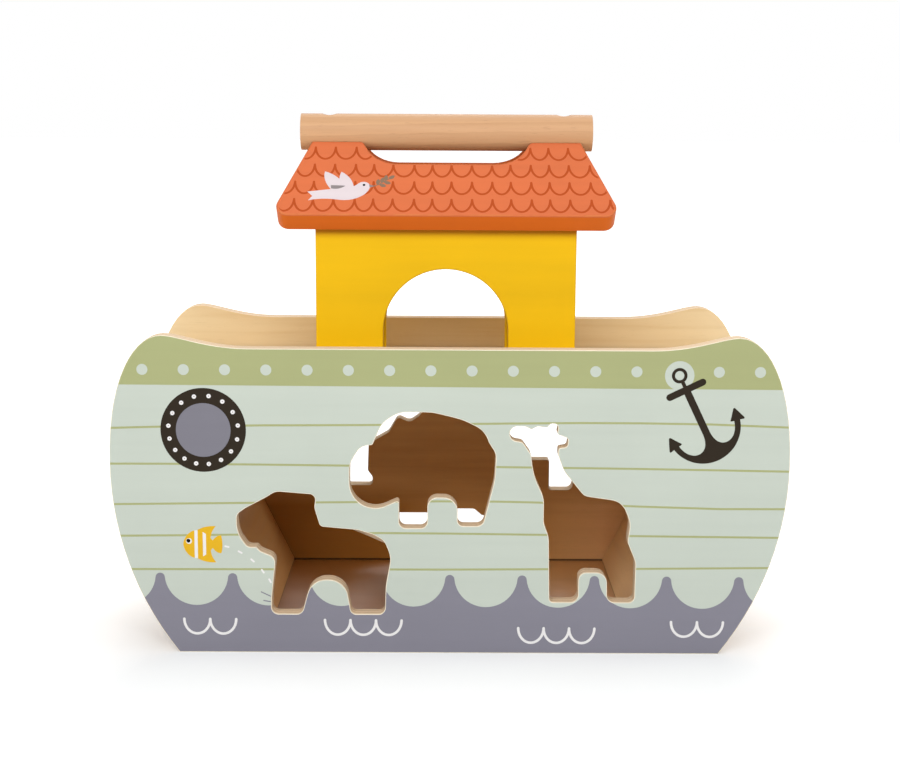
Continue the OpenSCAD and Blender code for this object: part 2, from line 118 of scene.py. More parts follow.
# The same along and across the grain of wood
BAND_ALONG = 2.6
LINE_ALONG = 9
LINES_IN_BAND = 9
FLECKS = (150, 1500)
YEAR_RINGS = 62

# Plies of a board, and a glue line's share of its thickness
PLIES = 5
GLUE_SHARE = 0.014

# Roughness of satin paint, from its smoothest to its dullest spots
PAINT_ROUGHNESS = (0.40, 0.54)

# Where finishes change, in metres: painted light at the house's foot, painted shade under its eaves
# and in the hold below the deck, a line of painted shade along the floor board, and the heart of
# the trunk that the handle is cut from
FOOT_LIGHT_REACH = (0.148, 0.178)
# Painted shade under the eaves: its top just under the roof, its reach down the wall and its
# strength
EAVE_OVERLAP = 0.0006
EAVE_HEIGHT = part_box("front_roof_panel")[0][2] - EAVE_OVERLAP
EAVE_SHADE_REACH = 0.0055
EAVE_SHADE_SHARE = 0.82
DECK_EDGE = (0.132, 0.137)
# A line of painted shade on the sides' inner faces, just above the floor board
JOINT_REACH = (0.0003, 0.0007)
JOINT_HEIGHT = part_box("floor_board")[1][2] + JOINT_REACH[0]
JOINT_FADE = 0.001
JOINT_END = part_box("floor_board")[1][0]
JOINT_SHADE_SHARE = 0.85
TRUNK_PLACE = (0, 0.020, -0.222)
TRUNK_SLANT = (0, math.radians(2.2), math.radians(3.0))

# Painted light and shade in the hold, varying along the hull, mostly darker at its left and lighter
# at its right: its reach, the plain stretch within that, the heights over which it fades out on the
# walls, and gains of red, green and blue at the left and the right
SHADE_DRIFT_REACH = (-0.035, 0.09)
SHADE_DRIFT_PLAIN = (0.3, 0.72)
SHADE_DRIFT_TOP = (0.045, 0.06)
WALL_SHADE_DRIFT = ((0.62, 0.48, 0.22), (1.5, 1.75, 2.4))
FLOOR_SHADE_DRIFT = ((0.62, 0.48, 0.30), (1.0, 1.0, 1.0))
END_SHADE_DRIFT = ((1.1, 1.2, 1.35), (1.45, 1.9, 2.9))

# The studio floor's glow: two places in metres and the glow at each
FLOOR_GLOW = 0.25
FAR_GLOW = (0.30, 1.4, FLOOR_GLOW, 0.9)
BEHIND_GLOW = (-0.045, 0.05, FLOOR_GLOW, 0.58)
BEFORE_GLOW = (-0.14, -0.08, 0.30, FLOOR_GLOW)
BESIDE_GLOW = (0.15, 0.18, FLOOR_GLOW, 0.34)


# Plane outlines, in millimetres

CAP_STEPS = 6


def arc(cx, cy, rx, ry, start, end, steps):
    """Points on an ellipse between two angles in degrees."""
    angles = [math.radians(start + (end - start) * i / steps) for i in range(steps + 1)]
    return [(cx + rx * math.cos(a), cy + ry * math.sin(a)) for a in angles]


def disc(cx, cy, r, steps=40):
    """Points on a circle."""
    return arc(cx, cy, r, r, 0, 360, steps)[:-1]


def curve(p0, p1, p2, p3, steps=10):
    """Points on a cubic curve, without its last point."""
    points = []
    for i in range(steps):
        t = i / steps
        k = ((1 - t) ** 3, 3 * t * (1 - t) ** 2, 3 * t * t * (1 - t), t ** 3)
        points.append(tuple(sum(w * p[j] for w, p in zip(k, (p0, p1, p2, p3))) for j in (0, 1)))
    return points


def across(points, closed):
    """The vector to the right of travel at each point of a line, mitred where the line bends."""
    last = len(points) - 1
    result = []
    for i, here in enumerate(points):
        before = points[i - 1] if closed or i > 0 else None
        after = points[(i + 1) % (last + 1)] if closed or i < last else None
        steps = [(a, b) for a, b in ((before, here), (here, after)) if a and b]
        turns = []
        for a, b in steps:
            size = math.hypot(b[0] - a[0], b[1] - a[1])
            turns.append(((b[1] - a[1]) / size, (a[0] - b[0]) / size))
        (ax, ay), (bx, by) = turns[0], turns[-1]
        share = 1 + ax * bx + ay * by
        result.append(((ax + bx) / share, (ay + by) / share))
    return result


def shifted(points, distance, closed=False):
    """A line moved to the right of its travel."""
    aside = across(points, closed)
    return [(p[0] + distance * v[0], p[1] + distance * v[1]) for p, v in zip(points, aside)]


def stroke(points, width):
    """A band of even width along a line, with round ends."""
    half = width / 2
    outline = shifted(points, half)
    for end, other in ((points[-1], points[-2]), (points[0], points[1])):
        heading = math.degrees(math.atan2(end[1] - other[1], end[0] - other[0]))
        outline += arc(*end, half, half, heading - 90, heading + 90, CAP_STEPS)[1:-1]
        if end is points[-1]:
            outline += shifted(points, -half)[::-1]
    return outline


def turned(points, angle, place):
    """Points turned about the origin by an angle in degrees, then moved to a place."""
    c, s = math.cos(math.radians(angle)), math.sin(math.radians(angle))
    return [(place[0] + c * x - s * y, place[1] + s * x + c * y) for x, y in points]


def area(points):
    """The area inside an outline, negative where it runs clockwise."""
    sides = zip(points, points[1:] + points[:1])
    return sum(a[0] * b[1] - b[0] * a[1] for a, b in sides) / 2


# Materials


def linear(colour, gain=1.0, share=PAINT_SHARE):
    """A screen colour times gain as a share of light sent back."""
    channels = [min(1.0, c / 255 * gain) for c in colour]
    light = [c / 12.92 if c <= 0.04045 else ((c + 0.055) / 1.055) ** 2.4 for c in channels]
    return tuple(c * share for c in light) + (1.0,)


class Shader:
    """A material made of nodes, added one call at a time."""

    def __init__(self, name):
        self.material = bpy.data.materials.new(name)
        self.material.use_nodes = True
        self.tree = self.material.node_tree
        self.bsdf = self.tree.nodes["Principled BSDF"]
        self.place = self.add("ShaderNodeTexCoord").outputs["Object"]

    def add(self, kind, inputs=None, **settings):
        """A node with its inputs, each linked from a socket or set to a value, and its settings."""
        node = self.tree.nodes.new(kind)
        for key, value in settings.items():
            setattr(node, key, value)
        for key, value in (inputs or {}).items():
            if isinstance(value, bpy.types.NodeSocket):
                self.tree.links.new(value, node.inputs[key])
            else:
                node.inputs[key].default_value = value
        return node

    def noise(self, stretch, detail=3.0, roughness=0.55, distortion=0.0, offset=(0, 0, 0)):
        """Noise whose scale along each axis is given per metre."""
        spot = self.add("ShaderNodeMapping", {
            "Vector": self.place, "Scale": stretch, "Location": offset})
        return self.add("ShaderNodeTexNoise", {
            "Vector": spot.outputs[0], "Scale": 1.0, "Detail": detail, "Roughness": roughness,
            "Distortion": distortion}).outputs["Fac"]

    def axes(self):
        """The place's x, y and z."""
        return self.add("ShaderNodeSeparateXYZ", {0: self.place}).outputs

    def attribute(self, name):
        return self.add("ShaderNodeAttribute", attribute_name=name).outputs["Fac"]

    def maths(self, operation, a, b):
        return self.add("ShaderNodeMath", {0: a, 1: b}, operation=operation).outputs[0]

    def spread(self, value, low, high, to_low, to_high):
        """A value between low and high as one between to_low and to_high."""
        return self.add("ShaderNodeMapRange", {
            0: value, 1: low, 2: high, 3: to_low, 4: to_high}).outputs[0]

    def ramp(self, value, stops):
        """A value as a colour, by stops that are each a position and a colour."""
        node = self.add("ShaderNodeValToRGB", {0: value})
        elements = node.color_ramp.elements
        while len(elements) < len(stops):
            elements.new(1.0)
        for element, (position, colour) in zip(elements, stops):
            element.position = position
            element.color = colour
        return node.outputs[0]

    def mix(self, share, a, b, blend="MIX"):
        """Colour a with a share of b over it."""
        node = self.add(
            "ShaderNodeMix", {0: share, 6: a, 7: b}, data_type="RGBA", blend_type=blend)
        return node.outputs[2]

    def finish(self, colour, roughness, height, bump, depth, **fixed):
        """Joins up colour, roughness and bump. Other values are set on the shader's own sockets."""
        relief = self.add("ShaderNodeBump", {"Height": height, "Strength": bump, "Distance": depth})
        normal = relief.outputs[0]
        linked = (("Base Color", colour), ("Roughness", roughness), ("Normal", normal))
        for key, value in linked:
            self.tree.links.new(value, self.bsdf.inputs[key])
        for key, value in fixed.items():
            self.bsdf.inputs[key.replace("_", " ")].default_value = value
        return self.material


def paint(name, colour, worn, along=PAINT_FIBRE, change=0.015, grain=0.06, share=PAINT_SHARE,
          seam=None):
    """Satin paint on wood: the grain shows through a little, and rounded edges are rubbed paler.
    change is how far the tone varies, and grain how deep the fibres stand.
    seam is a height under which the paint carries painted shade, as under the eaves, and that
    shade's colour. With it the paint also carries painted light, brighter towards its foot."""
    s = Shader(name)
    cloud = s.noise(PAINT_CLOUD, detail=2)
    fibre = s.noise(along, detail=5, distortion=0.3)
    grit = s.noise(PAINT_GRIT, detail=2)
    tone = s.maths("ADD", s.maths("MULTIPLY", cloud, 0.5), s.maths("MULTIPLY", fibre, 0.5))
    base = s.ramp(tone, ((0.30, linear(colour, 1 - change, share)),
                         (0.70, linear(colour, 1 + change, share))))
    rub = s.maths("MULTIPLY", s.attribute("edge"), s.noise(PAINT_RUB, detail=6, roughness=0.7))
    base = s.mix(s.spread(rub, 0.34, 0.62, 0.0, 0.55), base, linear(worn, share=share))
    if seam:
        level, deep = seam
        _, _, up = s.axes()
        # Painted light, brighter towards the wall's foot
        foot_light = s.spread(up, *FOOT_LIGHT_REACH, 1.0, 0.0)
        base = s.mix(foot_light, base, linear(colour, share=HOUSE_FOOT_LIGHT_SHARE))
        # Painted shade under the eaves
        under_eave_shade = s.maths("POWER", s.spread(up, level - EAVE_SHADE_REACH, level, 0.0, 1.0), 2.0)
        base = s.mix(s.maths("MULTIPLY", under_eave_shade, EAVE_SHADE_SHARE), base, linear(deep, share=share))
    dull = s.spread(s.maths("ADD", grit, fibre), 0.6, 1.4, *PAINT_ROUGHNESS)
    height = s.maths("ADD", fibre, s.maths("MULTIPLY", grit, 0.35))
    return s.finish(base, dull, height, bump=grain, depth=0.0004, Specular_IOR_Level=0.08)


def bare(colour, gain=1.0):
    """The light that an unpainted finish sends back."""
    return linear(colour, gain, WOOD_SHARE)


def wood(name, light, dark, along, roughness=0.58, uneven=0.08, gloss=0.1, ior=1.5, bump=0.16,
         bands=44, flecks=0.16, rings=0.35, growth=0.0, below=None, shade_drift=None, seam=None):
    """Bare wood with bands, fibres and short dark flecks along one axis.
    roughness varies by uneven. gloss and ior set how far its lacquer shines, and bump its relief.
    bands is their fineness, rings the fibres' share of the tone, and growth how far the year rings
    of a slightly slanting trunk show.
    below gives a light and a dark tone for the hold's painted shade under the deck, where a line of
    painted shade runs along the floor board. shade_drift gives gains of painted light and shade at
    the hold's left and its right, and seam the colour of painted shade on the rounded edges where
    boards meet."""
    s = Shader(name)

    def lengthwise(near, far):
        return [near if axis == along else far for axis in "xyz"]

    def toned(pale, deep):
        stops = ((0.28, bare(deep)), (0.52, bare(pale)), (0.75, bare(pale, 1.03)))
        return s.ramp(tone, stops)

    # Painted light and shade that varies along the hull
    def shade_drifted(colour):
        hull_x, _, _ = s.axes()
        left, right = [(*gains, 1.0) for gains in shade_drift]
        plain = [(place, (1.0, 1.0, 1.0, 1.0)) for place in SHADE_DRIFT_PLAIN]
        reach = s.spread(hull_x, *SHADE_DRIFT_REACH, 0.0, 1.0)
        tint = s.ramp(reach, [(0.0, left), *plain, (1.0, right)])
        return s.mix(1.0, colour, tint, "MULTIPLY")

    band = s.noise(lengthwise(BAND_ALONG, bands), detail=4, distortion=0.9)
    fine = lengthwise(LINE_ALONG, bands * LINES_IN_BAND)
    line = s.noise(fine, detail=5, distortion=0.4, offset=(3, 1, 2))
    fleck = s.noise(lengthwise(*FLECKS), detail=2, offset=(5, 7, 1))
    tone = s.maths("ADD", s.maths("MULTIPLY", band, 1 - rings), s.maths("MULTIPLY", line, rings))
    base = toned(light, dark)
    # Painted shade of the hold below the deck
    if below:
        low = toned(*below)
        hull_x, _, up = s.axes()
        low = s.mix(s.spread(up, *SHADE_DRIFT_TOP, 1.0, 0.0), low, shade_drifted(low))
        base = s.mix(s.spread(up, *DECK_EDGE, 1.0, 0.0), base, low)
        # A line of painted shade along the floor board
        off = s.maths("ABSOLUTE", s.maths("SUBTRACT", up, JOINT_HEIGHT), 0.0)
        side = s.maths("ABSOLUTE", hull_x, 0.0)
        inside = s.spread(side, JOINT_END - JOINT_FADE, JOINT_END, JOINT_SHADE_SHARE, 0.0)
        joint_shade = s.maths("MULTIPLY", s.spread(off, *JOINT_REACH, 1.0, 0.0), inside)
        base = s.mix(joint_shade, base, bare(GAP_SHADE_BROWN))
    elif shade_drift:
        base = shade_drifted(base)
    base = s.mix(s.spread(fleck, 0.62, 0.74, 0.0, flecks), base, bare(dark, 0.72))
    if growth:
        trunk = s.add("ShaderNodeMapping", {
            "Vector": s.place, "Location": TRUNK_PLACE, "Rotation": TRUNK_SLANT})
        year = s.add("ShaderNodeTexWave", {
            "Vector": trunk.outputs[0], "Scale": YEAR_RINGS, "Distortion": 1.6, "Detail": 3,
            "Detail Scale": 0.6}, wave_type="RINGS", rings_direction="X", wave_profile="SAW")
        late = s.spread(year.outputs["Fac"], 0.0, 1.0, 0.0, growth)
        base = s.mix(late, base, bare(dark, 0.92))
    # Painted shade along the rounded edges, in the gaps where the boards meet
    if seam:
        base = s.mix(s.maths("MULTIPLY", s.attribute("edge"), 0.9), base, bare(seam))
    else:
        rub = s.maths("MULTIPLY", s.attribute("edge"), s.noise(WOOD_RUB, detail=4))
        base = s.mix(s.spread(rub, 0.30, 0.60, 0.0, 0.35), base, bare(light, 1.05))
    dull = s.spread(line, 0.3, 0.7, roughness - uneven, roughness + uneven)
    height = s.maths("SUBTRACT", line, s.maths("MULTIPLY", fleck, 0.5))
    return s.finish(base, dull, height, bump, depth=0.0005, Specular_IOR_Level=gloss, IOR=ior)


def ply_edge(name, light, dark):
    """The cut edge of plywood: plies by the depth into the board, with thin glue lines and
    end-grain pores."""
    s = Shader(name)
    last = PLIES - 1
    stops = []
    for i in range(PLIES):
        tone = bare(light) if i % 2 == 0 else bare(dark)
        start, end = i / PLIES, (i + 1) / PLIES
        stops += [(start + GLUE_SHARE * (i > 0), tone), (end - GLUE_SHARE * (i < last), tone)]
        if i < last:
            stops.append((end, bare(dark, 0.86)))
    waver = s.noise(PLY_WAVER, detail=3)
    depth = s.maths("ADD", s.attribute("depth"), s.spread(waver, 0.3, 0.7, -0.025, 0.025))
    base = s.ramp(depth, stops)
    pore = s.noise(PLY_PORES, detail=3)
    base = s.mix(s.spread(pore, 0.56, 0.74, 0.0, 0.28), base, bare(dark, 0.80))
    dull = s.spread(pore, 0.3, 0.7, 0.56, 0.72)
    return s.finish(base, dull, pore, bump=0.14, depth=0.0004, Specular_IOR_Level=0.1)


def steel(name):
    """Zinc-plated steel with fine turning marks and dull spots."""
    s = Shader(name)
    spots = s.noise(STEEL_SPOTS, detail=4)
    lines = s.noise(STEEL_LINES, detail=2)
    base = s.ramp(spots, ((0.3, bare(STEEL, 0.84)), (0.7, bare(STEEL, 1.04))))
    dull = s.spread(spots, 0.3, 0.7, 0.26, 0.44)
    return s.finish(base, dull, lines, bump=0.10, depth=0.0002, Metallic=1.0)


def floor_finish(name):
    """White studio floor that glows a little, and more behind, before and beside the toy, and far
    out, where the softboxes don't reach."""
    s = Shader(name)
    cloud = s.noise(FLOOR_CLOUD, detail=3)
    base = s.ramp(cloud, ((0.3, bare(FLOOR_WHITE, 0.995)), (0.7, bare(FLOOR_WHITE, 1.005))))
    dull = s.spread(cloud, 0.3, 0.7, 0.75, 0.85)
    far = s.add("ShaderNodeVectorMath", {0: s.place}, operation="LENGTH").outputs["Value"]
    wide, deep, _ = s.axes()
    side = s.maths("ABSOLUTE", wide, 0.0)
    shine = s.spread(far, *FAR_GLOW)
    for place, glow in ((deep, BEHIND_GLOW), (deep, BEFORE_GLOW), (side, BESIDE_GLOW)):
        shine = s.maths("MAXIMUM", shine, s.spread(place, *glow))
    s.tree.links.new(shine, s.bsdf.inputs["Emission Strength"])
    white = (1, 1, 1, 1)
    return s.finish(base, dull, cloud, bump=0.02, depth=0.001, Specular_IOR_Level=0.1,
                    Emission_Color=white)


PAINTS = {
    "mint": paint("mint_print", MINT, RIM_LIGHT),
    "olive": paint("olive_print", OLIVE, RIM_LIGHT),
    "slate": paint("slate_print", SLATE, RIM_LIGHT),
    "soot": paint("dark_print", SOOT, RIM_LIGHT),
    "white": paint("white_print", WHITE, RIM_LIGHT),
    "sun": paint("yellow_print", SUN, RIM_LIGHT),
    "pupil": paint("eye_print", PUPIL, RIM_LIGHT),
    "glass": paint("glass_print", GLASS, RIM_LIGHT),
    "orange": paint("roof_print", ROOF_ORANGE, ROOF_WORN, change=0.03, share=ROOF_SHARE),
    "tile": paint("tile_line_print", ROOF_LINE, ROOF_WORN, share=ROOF_SHARE),
    "blossom": paint("bird_print", BLOSSOM, RIM_LIGHT),
    "feather": paint("feather_print", FEATHER, RIM_LIGHT),
    "leaf": paint("sprig_print", LEAF, RIM_LIGHT),
}
HOUSE_LOOK = {"along": WALL_FIBRE, "change": 0.025, "grain": 0.07, "share": HOUSE_SHARE}
GABLE_PAINT = paint("gable_paint", HOUSE_YELLOW, HOUSE_WORN, **HOUSE_LOOK)
# Painted shade under the eaves, on the house walls
EAVE_SHADE = (EAVE_HEIGHT, HOUSE_EAVE_SHADE)
WALL_PAINT = paint("wall_paint", HOUSE_YELLOW, HOUSE_WORN, seam=EAVE_SHADE, **HOUSE_LOOK)
ROOF_EDGE_PAINT = paint("roof_edge_paint", ROOF_EDGE, ROOF_WORN, change=0.03, grain=0.10,
                        share=ROOF_EDGE_SHARE)
PLY_LOOK = {"bands": 26, "flecks": 0.10}
PLY_LONG = wood("plywood_long", BARE_LIGHT, BARE_DARK, "x", **PLY_LOOK)
PLY_CROSS = wood("plywood_cross", BARE_LIGHT, BARE_DARK, "y", **PLY_LOOK)
# The sides' inner faces: bare wood above the deck, and the hold's painted shade below it
PLY_INNER = wood("plywood_inner", BARE_LIGHT, BARE_DARK, "x", below=(SHADED_HOLD_LIGHT, SHADED_HOLD_DARK),
                 shade_drift=WALL_SHADE_DRIFT, **PLY_LOOK)
# The inner faces of the floor and end boards, in the hold's painted shade
SHADED_HOLD_LONG = wood("shaded_hold_long", SHADED_HOLD_LIGHT, SHADED_HOLD_DARK, "x", roughness=0.29, uneven=0.01, gloss=1.0,
                 ior=2.6, bump=0.01, shade_drift=FLOOR_SHADE_DRIFT, seam=GAP_SHADE_BROWN, **PLY_LOOK)
SHADED_HOLD_CROSS = wood("shaded_hold_cross", SHADED_HOLD_LIGHT, SHADED_HOLD_DARK, "y", roughness=0.40, gloss=0.4,
                  shade_drift=END_SHADE_DRIFT, seam=GAP_SHADE_BROWN, **PLY_LOOK)
PLY_EDGE = ply_edge("plywood_edge", CUT_LIGHT, CUT_DARK)
RIM_WOOD = wood("rounded_rim", RIM_LIGHT, RIM_DARK, "x", bands=90, flecks=0.10)
BEECH = wood("beech", BEECH_LIGHT, BEECH_DARK, "x", roughness=0.50, gloss=0.35, bands=40,
             flecks=0.26, rings=0.30, growth=0.35)
PIN_BEECH = wood("pin_beech", BEECH_LIGHT, BEECH_DARK, "y", roughness=0.55, bands=300)
SCREW_STEEL = steel("zinc_steel")


# Boards taken from the solids

# How near corners are to be one, and how level and high a face is to be the outer one
MERGE_REACH = 0.002 * MM
PRINT_MERGE = 1e-4
LEVEL_SHARE = 0.999
LEVEL_REACH = 0.01 * MM

# Rounded edges: steps, profile, and the angles between faces that are flat, sharp and smooth
RIM_STEPS = 4
SOFT_STEPS = 3
ROUND_PROFILE = 0.5
FLAT_ANGLE = math.radians(0.5)
SHARP_ANGLE = math.radians(30)
SMOOTH_ANGLE = math.radians(35)
NORMAL_WEIGHT = 90

# How far a face turns towards the broad side, or into the hold, to have its finish
BROAD_SHARE = 0.7
INWARD_SHARE = 0.5
HOLD_MIDDLE = Vector((0, 0, 0.075))


def add_piece(name, bm, materials, body, nodes):
    """Makes a piece that stands for CAD nodes and rides on their body."""
    mesh = bpy.data.meshes.new(name)
    bm.to_mesh(mesh)
    bm.free()
    for material in materials:
        mesh.materials.append(material)
    mesh.polygons.foreach_set("use_smooth", [True] * len(mesh.polygons))
    piece = bpy.data.objects.new(name, mesh)
    bpy.context.scene.collection.objects.link(piece)
    normals = piece.modifiers.new("weighted_normals", "WEIGHTED_NORMAL")
    normals.keep_sharp = True
    normals.weight = NORMAL_WEIGHT
    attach(piece, body)
    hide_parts(*nodes)


def node_bmesh(node):
    """A node's solid as a mesh with shared corners."""
    bm = bmesh.new()
    bm.from_mesh(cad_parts[node].data)
    bmesh.ops.remove_doubles(bm, verts=bm.verts, dist=MERGE_REACH)
    bm.normal_update()
    return bm


def chains(follow):
    """Closed chains from a table of each point and the one after it."""
    result = []
    while follow:
        chain = []
        here = next(iter(follow))
        while here in follow:
            chain.append(here)
            here = follow.pop(here)
        result.append(chain)
    return result


def face_borders(node, right, up):
    """The borders of a node's outer flat face, the outline first, in millimetres along right and
    up. The face lies to the left of each border. Also gives the face's height along its normal, and
    the thickness."""
    normal = right.cross(up)
    bm = node_bmesh(node)
    heights = [v.co.dot(normal) for v in bm.verts]
    top = max(heights)
    level = [f for f in bm.faces if f.normal.dot(normal) > LEVEL_SHARE]
    flat = [f for f in level if abs(f.calc_center_median().dot(normal) - top) < LEVEL_REACH]
    in_flat = set(flat)
    follow = {}
    for face in flat:
        for corner in face.loops:
            if not any(f is not face and f in in_flat for f in corner.edge.link_faces):
                follow[corner.vert] = corner.link_loop_next.vert
    borders = []
    for chain in chains(follow):
        borders.append([(v.co.dot(right) / MM, v.co.dot(up) / MM) for v in chain])
    bm.free()
    borders.sort(key=lambda b: -abs(area(b)))
    return borders, top, top - min(heights)


def printed_board(name, node, body, right, up, rim, print_on, ground, finishes, mitre=None):
    """A board with rounded edges and a print on its outer face, which lies along right and up.
    print_on gives the print's regions, each a paint's name and an outline, painted in order over
    the ground. finishes are the materials of the rounded rim, the cut edge and the inner face.
    mitre is the normal of an upright plane through the origin that ends the board."""
    normal = right.cross(up)
    borders, top, thick = face_borders(node, right, up)
    thick_mm = thick / MM
    regions = print_on(borders[0])
    used = [ground] + sorted({paint_name for paint_name, _ in regions} - {ground})

    outlines = [shifted(b, -rim, True) for b in borders]
    holes = len(outlines)
    outlines += [outline for _, outline in regions]
    coords, rings = [], []
    for outline in outlines:
        if area(outline) < 0:
            outline = outline[::-1]
        rings.append(list(range(len(coords), len(coords) + len(outline))))
        coords += [Vector(p) for p in outline]
    points, _, cells, _, _, origins = delaunay_2d_cdt(coords, [], rings, 1, PRINT_MERGE)

    bm = bmesh.new()
    edge_layer = bm.verts.layers.float.new("edge")
    depth_layer = bm.verts.layers.float.new("depth")

    def vertex(a, b, down, edge=0.0):
        v = bm.verts.new(right * a * MM + up * b * MM + normal * (top - down * MM))
        v[edge_layer] = edge
        v[depth_layer] = down / thick_mm
        return v

    kept = []
    for cell, owners in zip(cells, origins):
        if 0 in owners and not any(0 < o < holes for o in owners):
            last = max(owners)
            paint_name = ground if last < holes else regions[last - holes][0]
            kept.append((cell, used.index(paint_name)))
    front, back = {}, {}
    for cell, _ in kept:
        for i in cell:
            if i not in front:
                front[i] = vertex(*points[i], 0)
                back[i] = vertex(*points[i], thick_mm)
    directed = set()
    for cell, paint_index in kept:
        bm.faces.new([front[i] for i in cell]).material_index = paint_index
        bm.faces.new([back[i] for i in reversed(cell)]).material_index = len(used) + 2
        directed.update(zip(cell, cell[1:] + cell[:1]))

    turns = [math.radians(90 * k / RIM_STEPS) for k in range(1, RIM_STEPS + 1)]
    profile = [(rim * math.sin(t), rim * (1 - math.cos(t)), math.sin(2 * t)) for t in turns]
    profile += [(out, thick_mm - down, edge) for out, down, edge in reversed(profile)]
    follow = {a: b for a, b in directed if (b, a) not in directed}
    for chain in chains(follow):
        line = [tuple(points[i]) for i in chain]
        rows = [[front[i] for i in chain]]
        for out, down, edge in profile:
            rows.append([vertex(a, b, down, edge) for a, b in shifted(line, out, True)])
        rows.append([back[i] for i in chain])
        for level, (upper, lower) in enumerate(zip(rows, rows[1:])):
            for k, here in enumerate(upper):
                n = (k + 1) % len(chain)
                face = bm.faces.new((upper[n], here, lower[k], lower[n]))
                face.material_index = len(used) + (level >= RIM_STEPS)
    if mitre is not None:
        whole = bm.verts[:] + bm.edges[:] + bm.faces[:]
        cut = bmesh.ops.bisect_plane(
            bm, geom=whole, plane_co=(0, 0, 0), plane_no=mitre, clear_outer=True)
        seam = [e for e in cut["geom_cut"] if isinstance(e, bmesh.types.BMEdge)]
        for face in bmesh.ops.holes_fill(bm, edges=seam)["faces"]:
            face.material_index = len(used) + 1
    add_piece(name, bm, [PAINTS[p] for p in used] + finishes, body, [node])


def soft_board(name, node, body, finishes, width=0.8, shortest=1.5):
    """A board whose edges longer than shortest are softened over a width, both in millimetres.
    finishes are the materials of its broad faces, of its cut edges, and of the broad face that
    looks into the hold if that differs."""
    bm = node_bmesh(node)
    bmesh.ops.dissolve_limit(bm, angle_limit=FLAT_ANGLE, verts=bm.verts, edges=bm.edges)
    broad = max(bm.faces, key=lambda f: f.calc_area()).normal.copy()
    sharp = [e for e in bm.edges if len(e.link_faces) == 2 and e.calc_length() > shortest * MM
             and e.calc_face_angle() > SHARP_ANGLE]
    edge_layer = bm.verts.layers.float.new("edge")
    depth_layer = bm.verts.layers.float.new("depth")
    bevel = bmesh.ops.bevel(
        bm, geom=sharp, offset=width * MM, offset_type="OFFSET", segments=SOFT_STEPS,
        profile=ROUND_PROFILE, affect="EDGES", clamp_overlap=True)
    rounded = set(bevel["faces"])
    bm.normal_update()
    heights = [v.co.dot(broad) for v in bm.verts]
    low, high = min(heights), max(heights)
    inward = broad if HOLD_MIDDLE.dot(broad) > (low + high) / 2 else -broad
    for v in bm.verts:
        v[edge_layer] = float(all(f in rounded for f in v.link_faces))
        v[depth_layer] = (v.co.dot(broad) - low) / (high - low)
    for face in bm.faces:
        face.material_index = int(abs(face.normal.dot(broad)) < BROAD_SHARE)
        if len(finishes) > 2 and face.normal.dot(inward) > INWARD_SHARE:
            face.material_index = 2
    for edge in bm.edges:
        edge.smooth = len(edge.link_faces) != 2 or edge.calc_face_angle() < SMOOTH_ANGLE
    add_piece(name, bm, finishes, body, [node])


# The printed hull sides

HULL_RIM = 0.35
PRINT_SPARE = 5
PRINT_TILT = -0.2
BAND_LOW = 137.2
DOT_FIRST = (-152.6, 145.4)
DOT_PITCH = 20.4
DOT_COUNT = 16
DOT_R = 2.75
DOT_BEHIND_ANCHOR = 13
PLANK_LINE = 1.1
PLANKS = (
    ((-175, 115.7), (-145, 116.6), (-95, 117.5), (-45, 117.9), (25, 119.0), (65, 119.5),
     (95, 119.5), (130, 119.1), (175, 117.5)),
    ((-175, 97.7), (-145, 97.8), (-95, 97.6), (-55, 97.3), (25, 96.9), (95, 96.3), (175, 95.2)),
    ((-175, 76.9), (-105, 77.9), (-55, 78.5), (-5, 79.2), (25, 79.2), (45, 78.8), (95, 77.0),
     (135, 75.9), (175, 76.0)),
    ((-175, 60.6), (-135, 61.1), (-35, 62.7), (0, 62.6), (95, 61.7), (175, 61.1)),
    ((-175, 43.4), (-105, 43.6), (0, 43.9), (95, 44.7), (175, 45.6)),
)
WAVE_FIRST = -182.7
WAVE_PITCH = 36.55
WAVE_COUNT = 11
WAVE_LOW = 24.4
WAVE_R = 16.0
WAVE_TIP_DROP = 1.6
FOAM_LINE = 1.3
FOAM = (((-127.8, 17.1), 13.15, 2), ((-56.6, 17.0), 12.95, 3),
        ((41.5, 13.5), 12.9, 3), ((119.2, 17.3), 13.2, 2))
FOAM_DEPTH = 7.7
PORTHOLE = (-122.9, 115.0)
PORTHOLE_R = 21.25
GLASS_R = 13.6
RIVETS = 16
RIVET_RING = 17.4
RIVET_R = 1.1
RIVET_MARK = 0.28
RIVET_DRIFT = 4.5
RIVET_TURN = 30
ANCHOR = (116.9, 136.5)
ANCHOR_TILT = 26
ANCHOR_HALO = 7.3
FISH = (-124.5, 56.5)
FISH_NOSE = -9.6
FISH_LENGTH = 16.0
FISH_HEIGHT = 7.2
FISH_STRIPES = (0.36, 0.62)
FISH_STRIPE = 0.1
TRAIL = ((-112.1, 55.3, -14), (-105.5, 52.5, -28), (-99.3, 48.2, -42), (-94.2, 42.6, -55),
         (-90.6, 37.6, -62))
TRAIL_HALF = 0.9
TRAIL_LINE = 0.9
SPLASH = (((-95.1, 31.8), (-90.5, 29.6)), ((-93.9, 27.3), (-90.5, 26.7)))
SPLASH_LINE = 0.6


def planks():
    """The lines between the planks."""
    return [("olive", stroke(line, PLANK_LINE)) for line in PLANKS]


